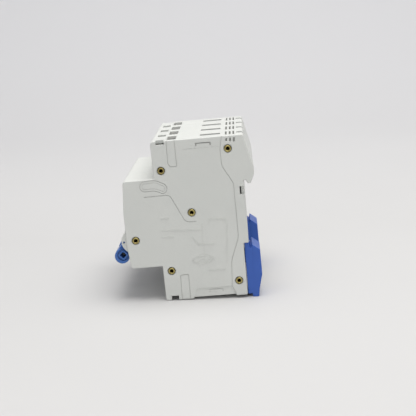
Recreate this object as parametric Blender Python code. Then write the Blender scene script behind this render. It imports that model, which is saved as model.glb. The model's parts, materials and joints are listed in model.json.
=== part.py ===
"""Four-module residual current device for a 35 mm top-hat rail.

Frame: x runs across the four modules, -y points out of the front (the toggles), +z is up.
The origin is the middle of the rail seat. All sizes below are in millimetres.
"""

import math

import bmesh
import bpy
from mathutils import Matrix, Vector

MM = 0.001

# ---- Driving dimensions (mm) -------------------------------------------------------------

PITCH = 18.0                     # width of one module
POLES = 4
NEUTRAL = 4                      # the neutral pole, which has no arc chute
HALF_WIDTH = PITCH * POLES / 2
MIDDLES = [PITCH * ((POLES - 1) / 2 - pole) for pole in range(POLES)]
WALL = 1.6                       # wall of the housing
SIDE_WALL = 1.5                  # side wall of each half shell, from the module's boundary
CUT = 2.4                        # how deep a cutter reaches to pass a wall
GAP = 0.3                        # clearance between neighbouring pieces

TOP, BOTTOM = 41.2, -40.8        # top and bottom of the housing
SHELF = -44.3                    # front faces above and below the nose
NOSE = -61.2                     # front face of the nose
NOSE_HALF = 22.5                 # the nose is 45 mm high
CLIP_BACK = -2.6                 # back wall behind the rail clips
CLIP_TOP = -14.0                 # top of the rail clips
BAND = (-29.8, -8.4)             # raised middle of the bottom face, from front to back
BAND_STEP = 0.8
VENTS = (-6.9, -5.0, -3.2)       # three short slots in the top of each module
VENT_HALF = 5.2
LONG_SLOT = (-19.9, -9.8)        # long slot in the top of each module
LONG_SLOT_HALF = 1.7
TOP_NOTCH = (-41.6, -37.5)       # busbar notches at the module boundaries
BOTTOM_NOTCH = (-41.3, -37.6)

RIVETS = [(-40.3, 26.3), (-6.5, 34.7), (-27.1, 4.1), (-56.5, -8.1), (-40.0, -25.3), (-6.4, -33.0)]
RIVET_SHANK, RIVET_HEAD, RIVET_BORE = 1.25, 1.8, 0.85
HEAD_DEPTH = 0.8
BOSS_R = 2.6

PIVOT = (-56.5, -8.1)            # toggle axis, which is the fourth rivet
KNOB = (-64.8, -16.8)            # axis of the knob
KNOB_R = 3.8
BAR = (-64.2, -16.1)             # axis of the link bar, a little off the knob's own
DRUM_R = 7.0
CHEEK = (-57.6, -8.5)            # centre of the round cheeks beside each toggle
CHEEK_R = 6.6
CHEEK_SPAN = (5.2, 6.8)          # sideways, from the module's middle
SLOT_HALF = 5.0                  # toggle slot
SLOT_Z = (-17.6, 2.3)
DRUM_HALF = 4.6
KNOB_HALF = 4.8
BAR_SIDE = 2.1                   # square bar that links the toggles

SCREW_Z = 34.0                   # height of the terminal screws, above and below
SCREW_HEAD_R, SCREW_R = 3.1, 1.9
SCREW_HOLE_R = 3.5
WINDOW = (-36.5, -31.7)          # wire window, from front to back
WINDOW_HALF = 6.9
STRAP_Y = (-37.0, -36.0)         # the copper strap inside the cage
CAGE_Y = (-39.0, -30.2)
CAGE_Z = (30.4, 38.9)
CAGE_HALF = 6.2

SHAFT = (-33.5, -6.0)            # axis of the contact arms
SHAFT_R = 2.4
OPEN_ANGLE = 13.0                # degrees, contact arms open
TRIP_AXIS = (-42.5, 6.0)
RING_Y = (-21.5, -8.5)           # summation transformer
RING_Z = (-15.0, -8.0)
RING_HALF = 34.2
LOAD_Y = -15.0                   # load straps where they pass through the ring

CLIP_HALF = 7.8
KEY_Z = (-26.0, -19.0)           # key of the rail clip, and the slot that it slides in
KEY_HALF, KEY_HEAD_HALF = 1.6, 3.4
CLIP_TRAVEL = 3.5
BUTTON_Z = (7.0, 13.0)
BUTTON_HALF = 3.2

ARC_STEPS = 3


# ---- Modelling helpers -------------------------------------------------------------------

def material(name, colour, roughness, metallic=0.0):
    """A plain Principled material."""
    mat = bpy.data.materials.new(name)
    mat.use_nodes = True
    shader = mat.node_tree.nodes["Principled BSDF"]
    shader.inputs["Base Color"].default_value = (*colour, 1.0)
    shader.inputs["Roughness"].default_value = roughness
    shader.inputs["Metallic"].default_value = metallic
    return mat


def make_object(name, mesh_data, mat, origin=(0.0, 0.0, 0.0), parent=None):
    """Turn a bmesh into an object whose origin sits at the given point (mm)."""
    shift = Vector(origin) * MM
    bmesh.ops.transform(mesh_data, matrix=Matrix.Translation(-shift), verts=mesh_data.verts)
    bmesh.ops.recalc_face_normals(mesh_data, faces=mesh_data.faces)
    mesh = bpy.data.meshes.new(name)
    mesh_data.to_mesh(mesh)
    mesh_data.free()
    obj = bpy.data.objects.new(name, mesh)
    bpy.context.scene.collection.objects.link(obj)
    obj.location = shift
    if mat is not None:
        mesh.materials.append(mat)
    if parent is not None:
        obj.parent = parent
        obj.location = shift - parent.location
    return obj


def rounded(corners):
    """Points of an outline given as (y, z, radius) corners, each rounded by an arc."""
    points = []
    count = len(corners)
    for i, (y, z, radius) in enumerate(corners):
        here = Vector((y, z))
        if radius == 0:
            points.append((y, z))
            continue
        before = Vector(corners[i - 1][:2]) - here
        after = Vector(corners[(i + 1) % count][:2]) - here
        half = before.angle(after) / 2
        reach = radius / math.tan(half)
        start = before.normalized()
        end = after.normalized()
        centre = here + (start + end).normalized() * radius / math.sin(half)
        first = here + start * reach - centre
        last = here + end * reach - centre
        turn = first.angle_signed(last)
        for step in range(ARC_STEPS + 1):
            angle = -turn * step / ARC_STEPS
            arm = Vector((first.x * math.cos(angle) - first.y * math.sin(angle),
                          first.x * math.sin(angle) + first.y * math.cos(angle)))
            points.append(tuple(centre + arm))
    return points


def turned(outline, centre, degrees):
    """The (y, z) outline turned about a centre, by the right-hand rule about +x."""
    turn = Matrix.Rotation(math.radians(degrees), 2)
    return [tuple(Vector(centre) + turn @ (Vector(point) - Vector(centre))) for point in outline]


def add_prism(bm, outline, x0, x1):
    """Extrude a (y, z) outline from x0 to x1."""
    near = [bm.verts.new((x0 * MM, y * MM, z * MM)) for y, z in outline]
    face = bm.faces.new(near)
    grown = bmesh.ops.extrude_face_region(bm, geom=[face])
    moved = [item for item in grown["geom"] if isinstance(item, bmesh.types.BMVert)]
    bmesh.ops.translate(bm, vec=((x1 - x0) * MM, 0, 0), verts=moved)


def add_box(bm, x, y, z):
    """A box from three (low, high) pairs."""
    add_prism(bm, [(y[0], z[0]), (y[1], z[0]), (y[1], z[1]), (y[0], z[1])], x[0], x[1])


def add_disc(bm, centre, radius, x0, x1, segments):
    """A round prism about an axis along x."""
    angles = [2 * math.pi * (i + 0.5) / segments for i in range(segments)]
    add_prism(bm, [(centre[0] + radius * math.cos(a), centre[1] + radius * math.sin(a))
                   for a in angles], x0, x1)


def add_plug(bm, x, z, radius, y0, y1, segments):
    """A round prism about an axis along y."""
    place = Matrix.Translation((x * MM, (y0 + y1) / 2 * MM, z * MM)) @ Matrix.Rotation(math.pi / 2, 4, "X")
    bmesh.ops.create_cone(bm, cap_ends=True, segments=segments, radius1=radius * MM, radius2=radius * MM,
                          depth=(y1 - y0) * MM, matrix=place)


def shape(fill):
    """A new bmesh, filled by a function."""
    bm = bmesh.new()
    fill(bm)
    return bm


def boolean(obj, operation, fill, label):
    """Cut or join an object with the closed shapes that fill() adds to a bmesh."""
    tool = make_object(obj.name + "." + label, shape(fill), None)
    tool.hide_render = True
    tool.display_type = "WIRE"
    modifier = obj.modifiers.new(label, "BOOLEAN")
    modifier.operation = operation
    modifier.solver = "EXACT"
    modifier.object = tool


def empty(name, y, z):
    """An empty on a joint axis that runs along x."""
    pivot = bpy.data.objects.new(name, None)
    pivot.location = (0.0, y * MM, z * MM)
    bpy.context.scene.collection.objects.link(pivot)
    return pivot


def smooth(obj):
    """Shade round pieces smooth."""
    obj.data.shade_smooth()
    obj.data.set_sharp_from_angle(angle=math.radians(40))


# ---- Outlines ----------------------------------------------------------------------------

CASE = rounded([
    (-60.0, -NOSE_HALF, 1.3), (SHELF, -NOSE_HALF, 0), (SHELF, BOTTOM, 1.2), (BAND[0], BOTTOM, 0),
    (BAND[0], BOTTOM + BAND_STEP, 0), (BAND[1], BOTTOM + BAND_STEP, 0), (BAND[1], BOTTOM, 0),
    (CLIP_BACK, BOTTOM, 0), (CLIP_BACK, CLIP_TOP + GAP, 0), (0.0, CLIP_TOP + GAP, 0),
    (0.0, 18.2, 0), (1.0, 18.2, 0), (2.0, 16.4, 0.4), (3.5, 16.6, 0.4), (5.5, 21.2, 1.5), (5.5, 24.5, 0),
    (1.4, TOP, 1.0), (SHELF, TOP, 1.5), (SHELF, NOSE_HALF, 0), (-59.9, NOSE_HALF, 1.3), (NOSE, 6.0, 0),
    (NOSE, -12.0, 0),
])

CAVITY = [
    (-58.4, -NOSE_HALF + WALL), (SHELF + WALL, -NOSE_HALF + WALL), (SHELF + WALL, BOTTOM + WALL),
    (CLIP_BACK - WALL, BOTTOM + WALL), (CLIP_BACK - WALL, CLIP_TOP + WALL + GAP),
    (-WALL, CLIP_TOP + WALL + GAP), (-WALL, 20.4), (3.6, 21.4), (3.6, 24.5), (-0.4, TOP - WALL),
    (SHELF + WALL, TOP - WALL), (SHELF + WALL, NOSE_HALF - WALL), (-58.4, NOSE_HALF - WALL),
    (NOSE + WALL, 6.0), (NOSE + WALL, -12.0),
]

CLIP = [
    (CLIP_BACK + GAP, BOTTOM), (-0.2, BOTTOM), (0.1, -42.6), (3.1, -42.6), (3.6, -38.6), (5.5, -31.0),
    (5.4, -18.1), (1.4, -14.9), (0.9, -17.4), (0.0, -16.2), (-0.2, CLIP_TOP), (CLIP_BACK + GAP, CLIP_TOP),
]


# ---- Housing -----------------------------------------------------------------------------

def half_shell(name, centre, side, mat, has_clip, has_button):
    """One half of a module's housing. side is -1 or +1, towards the outer face of the half."""
    edge = centre + side * PITCH / 2
    outer = edge if abs(edge) > HALF_WIDTH - 1 else edge - side * GAP / 2
    middle = centre + side * GAP / 2
    inner = edge - side * SIDE_WALL

    def span(near, far):
        """Distances from the middle plane towards the outer face, as a (low, high) pair."""
        ends = (centre + side * near, centre + side * far)
        return min(ends), max(ends)

    shell = make_object(name, shape(lambda bm: add_prism(bm, CASE, *sorted((outer, middle)))), mat)
    hollow = sorted((inner, middle - side * 1.0))
    boolean(shell, "DIFFERENCE", lambda bm: add_prism(bm, CAVITY, *hollow), "cavity")

    def add_bosses(bm):
        for i, place in enumerate(RIVETS):
            if i != 3:
                add_disc(bm, place, BOSS_R, *sorted((inner + side * 0.6, middle)), 8)
        add_disc(bm, CHEEK, CHEEK_R, *span(*CHEEK_SPAN), 24)
    boolean(shell, "UNION", add_bosses, "bosses")

    def cut_holes(bm):
        for place in RIVETS:
            add_disc(bm, place, RIVET_SHANK + GAP, *sorted((outer + side, middle - side)), 10)
        add_box(bm, span(-1, SLOT_HALF), (NOSE - 1, NOSE + CUT), SLOT_Z)
        for ends, notch in (((TOP - CUT, TOP + 1), TOP_NOTCH), ((BOTTOM - 1, BOTTOM + CUT), BOTTOM_NOTCH)):
            add_box(bm, span(WINDOW_HALF, PITCH), notch, ends)
            add_box(bm, span(-1, WINDOW_HALF), WINDOW, ends)
        for z in (SCREW_Z, -SCREW_Z):
            add_plug(bm, centre, z, SCREW_HOLE_R, SHELF - 1, SHELF + CUT, 16)
        for y in VENTS:
            add_box(bm, span(-1, VENT_HALF), (y - 0.5, y + 0.5), (TOP - CUT, TOP + 1))
        add_box(bm, span(-1, LONG_SLOT_HALF), LONG_SLOT, (TOP - CUT, TOP + 1))
        if abs(outer) < HALF_WIDTH:
            through = sorted((outer + side, inner - side))
            add_disc(bm, SHAFT, 3.2, *through, 12)
            add_disc(bm, TRIP_AXIS, 2.0, *through, 12)
            add_box(bm, through, (RING_Y[0] - 0.4, RING_Y[1] + 0.4), (RING_Z[0] - 0.4, RING_Z[1] + 0.4))
        if has_clip:
            slot = (KEY_Z[0] - CLIP_TRAVEL - 0.4, KEY_Z[1] + 0.4)
            add_box(bm, span(-1, KEY_HALF + 0.4), (CLIP_BACK - CUT, CLIP_BACK + 1), slot)
        if has_button:
            window = (BUTTON_Z[0] - GAP, BUTTON_Z[1] + GAP)
            add_box(bm, span(-1, BUTTON_HALF + GAP), (NOSE - 1, NOSE + CUT + 0.4), window)
    boolean(shell, "DIFFERENCE", cut_holes, "holes")

    if abs(outer) >= HALF_WIDTH - 0.1:
        def counterbores(bm):
            for place in RIVETS:
                add_disc(bm, place, RIVET_HEAD + GAP, *sorted((outer + side, outer - side * 1.1)), 16)
        boolean(shell, "DIFFERENCE", counterbores, "counterbores")
    return shell


def locating_tab(giver, taker):
    """A tab on one shell that crosses the middle of the rail seat into a notch in its neighbour."""
    boolean(giver, "UNION", lambda bm: add_box(bm, (-1.5, 1.2), (-1.4, 0.0), (-2.5, 2.5)), "tab")
    boolean(taker, "DIFFERENCE", lambda bm: add_box(bm, (-1.8, 1.0), (-3.0, 1.0), (-2.8, 2.8)), "tab_notch")


# ---- Rivets and rail clips ---------------------------------------------------------------

def rivet(name, place, mat):
    """A tubular rivet through all the modules, with a flared head at each end."""
    end, shank, head, bore = HALF_WIDTH, RIVET_SHANK, RIVET_HEAD, RIVET_BORE
    neck = end - HEAD_DEPTH
    profile = [(-end, bore), (-end, head - 0.3), (-end + 0.3, head), (-neck, head), (-neck, shank),
               (neck, shank), (neck, head), (end - 0.3, head), (end, head - 0.3), (end, bore)]
    bm = bmesh.new()
    ring = [bm.verts.new((x * MM, place[0] * MM, (place[1] + r) * MM)) for x, r in profile]
    edges = [bm.edges.new((ring[i], ring[(i + 1) % len(ring)])) for i in range(len(ring))]
    bmesh.ops.spin(bm, geom=ring + edges, cent=(0, place[0] * MM, place[1] * MM), axis=(1, 0, 0),
                   angle=2 * math.pi, steps=10, use_merge=True)
    obj = make_object(name, bm, mat, (0, place[0], place[1]))
    smooth(obj)
    return obj


def rail_clip(name, centre, mat):
    """A sliding clip with a key that runs in the slot of the housing's back wall."""
    origin = (centre, CLIP_BACK + GAP, CLIP_TOP)
    clip = make_object(name, shape(lambda bm: add_prism(
        bm, CLIP, centre - CLIP_HALF, centre + CLIP_HALF)), mat, origin)

    def key(bm):
        add_box(bm, (centre - KEY_HALF, centre + KEY_HALF), (-5.1, -2.0), KEY_Z)

    def key_head(bm):
        back = CLIP_BACK - WALL - 0.4
        add_box(bm, (centre - KEY_HEAD_HALF, centre + KEY_HEAD_HALF), (back - 1.1, back), KEY_Z)
    boolean(clip, "UNION", key, "key")
    boolean(clip, "UNION", key_head, "key_head")
    return clip


# ---- Toggles -----------------------------------------------------------------------------

def toggle(name, centre, mat, parent):
    """Drum, arm and knob in one piece, with the pivot bore and the square hole for the link bar."""
    obj = make_object(name, shape(lambda bm: add_disc(
        bm, PIVOT, DRUM_R, centre - DRUM_HALF, centre + DRUM_HALF, 24)), mat, (centre, *PIVOT), parent)
    arm = [(-59.0, -12.5), (-57.5, -6.0), (-63.0, -8.6), (-66.9, -13.9), (-65.1, -17.0), (-62.0, -14.0)]
    boolean(obj, "UNION", lambda bm: add_prism(bm, arm[::-1], centre - 4.2, centre + 4.2), "arm")
    boolean(obj, "UNION", lambda bm: add_disc(
        bm, KNOB, KNOB_R, centre - KNOB_HALF, centre + KNOB_HALF, 16), "knob")

    def holes(bm):
        add_disc(bm, PIVOT, RIVET_SHANK + GAP, centre - 6, centre + 6, 14)
        add_disc(bm, BAR, (BAR_SIDE + 2 * GAP) / math.sqrt(2), centre - 6, centre + 6, 4)
    boolean(obj, "DIFFERENCE", holes, "bores")
    smooth(obj)
    return obj


# ---- Terminals ---------------------------------------------------------------------------

def terminal(prefix, centre, sign, steel, screw_mat):
    """Cage clamp and screw. sign is +1 for the line side on top and -1 for the load side."""
    z = sorted(sign * end for end in CAGE_Z)
    z_screw = sign * SCREW_Z
    cage = make_object(prefix + "_cage", shape(lambda bm: add_box(
        bm, (centre - CAGE_HALF, centre + CAGE_HALF), CAGE_Y, z)), steel, (centre, CAGE_Y[0], z_screw))

    def hollow(bm):
        add_box(bm, (centre - CAGE_HALF + 1, centre + CAGE_HALF - 1), (CAGE_Y[0] + 1.5, CAGE_Y[1] - 1.2),
                (z[0] - 1, z[1] + 1))
    boolean(cage, "DIFFERENCE", hollow, "hollow")
    boolean(cage, "DIFFERENCE", lambda bm: add_plug(
        bm, centre, z_screw, 2.2, CAGE_Y[0] - 1, CAGE_Y[0] + 2.0, 12), "thread")

    head_front, head_back = SHELF + 0.4, SHELF + 1.9
    screw = make_object(prefix + "_screw", shape(lambda bm: add_plug(
        bm, centre, z_screw, SCREW_HEAD_R, head_front, head_back, 16)), screw_mat, (centre, SHELF, z_screw))
    boolean(screw, "UNION", lambda bm: add_plug(
        bm, centre, z_screw, SCREW_R, head_back - 0.6, STRAP_Y[0] - GAP, 12), "shank")
    boolean(screw, "DIFFERENCE", lambda bm: add_box(
        bm, (centre - 4, centre + 4), (SHELF - 1, head_front + 0.9), (z_screw - 0.5, z_screw + 0.5)), "slot")
    smooth(screw)


def line_strap(name, centre, mat):
    """Copper strap from the upper terminal, with the fixed contact at its lower end."""
    front, back = STRAP_Y
    outline = [(front, 13.0), (back, 13.0), (back, 15.4), (back + 0.6, 15.6), (back + 0.6, 18.4),
               (back, 18.6), (back, 38.4), (front, 38.4)]
    make_object(name, shape(lambda bm: add_prism(bm, outline, centre - 4.4, centre + 4.4)), mat)


def load_strap(name, centre, mat):
    """Copper strap with its flexible tail, through the transformer and down to the lower terminal."""
    front, back = STRAP_Y
    near, far = LOAD_Y - 0.5, LOAD_Y + 0.5
    outline = [(far, -4.0), (near, -4.0), (near, -18.5), (front, -18.5), (front, -38.4), (back, -38.4),
               (back, -19.5), (far, -19.5)]
    strap = make_object(name, shape(lambda bm: add_prism(bm, outline, centre - 4.0, centre + 4.0)), mat)

    def tail(bm):
        start, end, sag, thick, count = (-28.6, -5.6), (far, -5.0), 1.4, 0.4, 7
        upper = []
        for i in range(count):
            t = i / (count - 1)
            upper.append((start[0] + (end[0] - 0.4 - start[0]) * t,
                          start[1] + (end[1] - start[1]) * t + sag * math.sin(math.pi * t)))
        lower = [(y, z - 2 * thick) for y, z in upper]
        add_prism(bm, lower + upper[::-1], centre - 1.5, centre + 1.5)
    boolean(strap, "UNION", tail, "tail")


# ---- Contacts and arc chutes -------------------------------------------------------------

def contact_arm(name, centre, mat, parent):
    """Moving contact arm on the shaft, standing open."""
    y, z = SHAFT
    closed = [(y - 1.0, z + 2.0), (y + 1.0, z + 2.0), (y + 0.8, z + 25.4), (y - 0.8, z + 25.4),
              (y - 0.8, z + 24.6), (y - 1.6, z + 24.4), (y - 1.6, z + 21.6), (y - 0.8, z + 21.4)]
    outline = turned(closed, SHAFT, -OPEN_ANGLE)

    def hub(bm):
        add_disc(bm, SHAFT, 4.3, centre - 1.6, centre + 1.6, 16)
    arm = make_object(name, shape(hub), mat, (centre, y, z), parent)

    boolean(arm, "UNION", lambda bm: add_prism(bm, outline, centre - 1.4, centre + 1.4), "blade")
    boolean(arm, "DIFFERENCE", lambda bm: add_disc(
        bm, SHAFT, SHAFT_R + GAP, centre - 3, centre + 3, 12), "bore")
    smooth(arm)


def arc_chute(name, centre, mat):
    """Stack of splitter plates on one insulating back."""
    plates, pitch, bottom = 6, 2.6, 9.6
    front, back = -24.4, -10.0
    outline = [(back, bottom)]
    outline.append((back, bottom + pitch * (plates - 1) + 1.0))
    for i in reversed(range(plates)):
        low = bottom + pitch * i
        outline += [(front, low + 1.0), (front, low)]
        if i:
            outline += [(back - 1.0, low), (back - 1.0, low - pitch + 1.0)]
    make_object(name, shape(lambda bm: add_prism(bm, outline, centre - 5.5, centre + 5.5)), mat)


# ---- Residual current parts --------------------------------------------------------------

def summation_transformer(core_mat, winding_mat):
    """Flat ring core round all four load straps, with its winding on the rear leg."""
    core = make_object("transformer_core", shape(lambda bm: add_box(
        bm, (-RING_HALF, RING_HALF), RING_Y, RING_Z)), core_mat)
    boolean(core, "DIFFERENCE", lambda bm: add_box(
        bm, (3 - RING_HALF, RING_HALF - 3), (RING_Y[0] + 3, RING_Y[1] - 3), (RING_Z[0] - 1, RING_Z[1] + 1)),
        "window")
    outer_y, outer_z = (RING_Y[1] - 4.6, RING_Y[1] + 1.6), (RING_Z[0] - 1.6, RING_Z[1] + 1.6)
    winding = make_object("transformer_winding", shape(lambda bm: add_box(
        bm, (3.5, 14.5), outer_y, outer_z)), winding_mat)
    boolean(winding, "DIFFERENCE", lambda bm: add_box(
        bm, (2, 16), (RING_Y[1] - 3.3, RING_Y[1] + 0.3), (RING_Z[0] - 0.3, RING_Z[1] + 0.3)), "hole")


def trip_parts(plastic, steel, relay_x):
    """Trip relay, its plunger, and the trip bar across the modules."""
    relay = make_object("trip_relay", shape(lambda bm: add_box(
        bm, (relay_x - 6, relay_x + 6), (-58.0, -47.5), (9.5, 19.5))), steel)
    boolean(relay, "DIFFERENCE", lambda bm: add_plug(bm, relay_x, 13.0, 1.4, -52.0, -46.5, 12), "guide")
    plunger = make_object("relay_plunger", shape(lambda bm: add_plug(
        bm, relay_x, 13.0, 1.1, -51.0, -44.5, 12)), steel, (relay_x, -44.5, 13.0))
    smooth(plunger)
    pivot = empty("trip_pivot", *TRIP_AXIS)
    bar = make_object("trip_bar", shape(lambda bm: add_disc(bm, TRIP_AXIS, 1.6, -33.5, 33.5, 12)), plastic,
                      (0, *TRIP_AXIS), pivot)

    def fingers(bm):
        for centre in MIDDLES:
            add_box(bm, (centre - 2, centre + 2), (-44.2, -43.0), (5.5, 15.0))
    boolean(bar, "UNION", fingers, "fingers")


def test_parts(button_mat, ceramic, x):
    """Test button, and the test resistor with the spring blade that returns the button."""
    front = NOSE - 1.0
    button = make_object("test_button", shape(lambda bm: add_box(
        bm, (x - BUTTON_HALF, x + BUTTON_HALF), (front, -55.5), BUTTON_Z)), button_mat, (x, front, 10.0))
    flange_z = (BUTTON_Z[0] - 0.8, BUTTON_Z[1] + 0.8)
    boolean(button, "UNION", lambda bm: add_box(
        bm, (x - BUTTON_HALF - 1, x + BUTTON_HALF + 1), (-58.4, -57.2), flange_z), "flange")
    resistor = make_object("test_resistor", shape(lambda bm: add_disc(
        bm, (-50.0, 16.5), 1.5, x - 5, x + 5, 14)), ceramic)
    blade = [(-53.4, 5.0), (-52.8, 5.0), (-52.8, 14.0), (-50.6, 16.2), (-50.6, 16.9), (-53.4, 14.2)]
    boolean(resistor, "UNION", lambda bm: add_prism(bm, blade, x - 1.5, x + 1.5), "blade")
    smooth(resistor)


# ---- Assembly ----------------------------------------------------------------------------

def main():
    for old in list(bpy.data.objects):
        bpy.data.objects.remove(old, do_unlink=True)

    housing = material("housing_plastic", (0.74, 0.75, 0.73), 0.5)
    blue = material("blue_plastic", (0.05, 0.13, 0.40), 0.4)
    brass = material("brass", (0.55, 0.45, 0.18), 0.35, 1.0)
    steel = material("zinc_steel", (0.55, 0.55, 0.54), 0.4, 1.0)
    copper = material("copper", (0.72, 0.35, 0.2), 0.4, 1.0)
    black = material("black_plastic", (0.03, 0.03, 0.035), 0.5)
    fibre = material("grey_fibre", (0.35, 0.34, 0.32), 0.7)
    enamel = material("winding_enamel", (0.45, 0.16, 0.05), 0.4)

    handle_pivot = empty("handle_pivot", *PIVOT)
    contact_pivot = empty("contact_pivot", *SHAFT)
    shells = {}
    for number, centre in enumerate(MIDDLES, 1):
        for side, word in ((1, "right"), (-1, "left")):
            name = f"shell_{number}_{word}"
            shells[name] = half_shell(name, centre, side, housing, number in (1, POLES), number == 3)
        toggle(f"toggle_{number}", centre, blue, handle_pivot)
        terminal(f"line_terminal_{number}", centre, 1, steel, steel)
        terminal(f"load_terminal_{number}", centre, -1, steel, steel)
        line_strap(f"line_strap_{number}", centre, copper)
        load_strap(f"load_strap_{number}", centre, copper)
        contact_arm(f"contact_arm_{number}", centre, copper, contact_pivot)
        if number != NEUTRAL:
            arc_chute(f"arc_chute_{number}", centre, fibre)
    locating_tab(shells["shell_2_left"], shells["shell_3_right"])

    for number, place in enumerate(RIVETS, 1):
        rivet(f"rivet_{number}", place, brass)
    rail_clip("rail_clip_right", MIDDLES[0], blue)
    rail_clip("rail_clip_left", MIDDLES[-1], blue)

    make_object("link_bar", shape(lambda bm: add_disc(
        bm, BAR, BAR_SIDE / math.sqrt(2), MIDDLES[-1] - 3.0, MIDDLES[0] + 1.0, 4)), black,
        (0, *BAR), handle_pivot)
    shaft = make_object("contact_shaft", shape(lambda bm: add_disc(
        bm, SHAFT, SHAFT_R, -33.5, 33.5, 6)), black, (0, *SHAFT), contact_pivot)
    smooth(shaft)

    summation_transformer(fibre, enamel)
    trip_parts(black, steel, MIDDLES[3])
    test_parts(black, fibre, MIDDLES[2])


main()
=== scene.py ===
"""Visual model of the four-module residual current device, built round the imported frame.

x runs across the modules, -y points out of the front and +z is up. Sizes are in millimetres.
"""

import json
import math

import bmesh
import bpy
from mathutils import Matrix, Vector


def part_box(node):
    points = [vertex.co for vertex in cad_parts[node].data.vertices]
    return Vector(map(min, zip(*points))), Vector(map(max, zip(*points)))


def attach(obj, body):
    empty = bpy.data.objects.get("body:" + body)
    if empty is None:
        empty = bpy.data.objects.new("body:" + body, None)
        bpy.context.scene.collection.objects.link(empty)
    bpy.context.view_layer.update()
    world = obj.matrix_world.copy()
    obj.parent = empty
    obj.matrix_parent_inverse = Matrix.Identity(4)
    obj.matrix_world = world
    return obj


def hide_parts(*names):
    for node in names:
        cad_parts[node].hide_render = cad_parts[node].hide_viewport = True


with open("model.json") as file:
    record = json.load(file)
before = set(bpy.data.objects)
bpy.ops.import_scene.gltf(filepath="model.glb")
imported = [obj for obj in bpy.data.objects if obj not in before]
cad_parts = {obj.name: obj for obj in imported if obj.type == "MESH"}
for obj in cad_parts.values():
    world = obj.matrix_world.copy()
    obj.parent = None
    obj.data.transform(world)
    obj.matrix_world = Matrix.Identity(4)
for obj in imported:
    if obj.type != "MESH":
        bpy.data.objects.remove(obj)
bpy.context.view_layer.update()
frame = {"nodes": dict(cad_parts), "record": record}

MM = 0.001

# ---- Places read from the frame (mm) -----------------------------------------------------


def span_mm(node, axis):
    """Lowest and highest place of a CAD node along an axis, in millimetres."""
    low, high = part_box(node)
    return low[axis] / MM, high[axis] / MM


def joint_place(name):
    """(y, z) of a joint's axis, in millimetres."""
    joint = next(j for j in frame["record"]["behaviour"]["joints"] if j["name"] == name)
    return joint["pos_m"][1] / MM, joint["pos_m"][2] / MM


POLES = 4
CLIPPED = (1, POLES)             # modules with a rail clip
TEST_MODULE = 3                  # module with the test button
HALF_WIDTH = span_mm("shell_1_right", 0)[1]
PITCH = 2 * HALF_WIDTH / POLES
TOP, BOTTOM = span_mm("shell_1_right", 2)[::-1]
PIVOT = joint_place("handle_turn")
BAR = tuple(sum(span_mm("link_bar", axis)) / 2 for axis in (1, 2))
SCREW_Z = joint_place("line_terminal_1_screw_turn")[1]
PIVOT_RIVET = 3                  # the toggles turn on this one, counted from 0
RIVETS = [tuple(sum(span_mm(f"rivet_{i}", axis)) / 2 for axis in (1, 2)) for i in range(1, 7)]

# ---- Sizes of the housing (mm) -----------------------------------------------------------

WALL = 1.6
SHELF = -44.3                    # front faces above and below the nose
NOSE = -61.2                     # front face of the nose
NOSE_HALF = 22.5
CLIP_BACK = -2.6                 # wall behind the rail clips
CLIP_TOP = -14.0
SLOT_DEPTH = 2.4                 # how far the slots reach in from a face, right through the wall
WINDOW = (-36.5, -31.7)          # wire windows, from front to back
WINDOW_HALF = 6.9
WINDOW_LIP = 0.3                 # chamfer round a window's mouth
KNOB = (-64.8, -16.8)            # the knob is a little off the link bar's axis
KNOB_R = 3.8
DRUM_R = 6.5                     # round root of a toggle, about its pivot
CHEEK = (-57.8, -8.9)            # round cheeks beside each toggle
CHEEK_R = 6.25
VENTS = (-6.9, -5.0, -3.2)       # short slots in the top
VENT_HALF = 5.6
LONG_SLOT = (-19.9, -9.8)
LONG_SLOT_HALF = 2.3
REAR_SLOT_HALF = 2.2
TOGGLE_SLOT = (-17.6, 2.3)       # from bottom to top
TOGGLE_SLOT_HALF = 4.9
TOP_NOTCH = (-41.6, -37.5)       # busbar notches beside the modules' joints
BOTTOM_NOTCH = (-41.3, -37.6)
SCREW_HOLE_R = 3.5
RIVET_HOLE_R = 1.5
SEAL_HOLE = (-62.8, -9.1)        # small hole through each cheek
SEAL_HOLE_R = 0.6
CLIP_KEYWAY = (-29.9, -18.6)     # slot for a clip's key, from bottom to top
BUTTON_HOLE = (6.7, 13.3)
SEAM = 0.03                      # half of the parting line between two half shells
JOINT = 0.04                     # half of the gap between two modules
ARC_STEPS = 8
FLAT_AREA = 25e-6                # faces over this many square metres stay flat


# ---- Shapes ------------------------------------------------------------------------------

def rounded(corners, closed=True, steps=ARC_STEPS):
    """Points of a line given as (y, z, radius) corners, each rounded by an arc."""
    points = []
    count = len(corners)
    for i, (y, z, radius) in enumerate(corners):
        here = Vector((y, z))
        if radius == 0 or (not closed and i in (0, count - 1)):
            points.append((y, z))
            continue
        before = Vector(corners[i - 1][:2]) - here
        after = Vector(corners[(i + 1) % count][:2]) - here
        half = before.angle(after) / 2
        start, end = before.normalized(), after.normalized()
        centre = here + (start + end).normalized() * radius / math.sin(half)
        first = here + start * radius / math.tan(half) - centre
        last = here + end * radius / math.tan(half) - centre
        turn = first.angle_signed(last)
        for step in range(steps + 1):
            angle = -turn * step / steps
            arm = Vector((first.x * math.cos(angle) - first.y * math.sin(angle),
                          first.x * math.sin(angle) + first.y * math.cos(angle)))
            points.append(tuple(centre + arm))
    return points


def circle(centre, radius, segments):
    angles = [2 * math.pi * (i + 0.5) / segments for i in range(segments)]
    return [(centre[0] + radius * math.cos(a), centre[1] + radius * math.sin(a)) for a in angles]


def capsule(first, last, radius, steps=12):
    """Closed outline with round ends about the line from first to last."""
    a, b = Vector(first), Vector(last)
    along = math.atan2((b - a).y, (b - a).x)
    points = []
    for middle, start in ((b, along - math.pi / 2), (a, along + math.pi / 2)):
        for i in range(steps + 1):
            angle = start + math.pi * i / steps
            points.append((middle.x + radius * math.cos(angle), middle.y + radius * math.sin(angle)))
    return points


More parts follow.
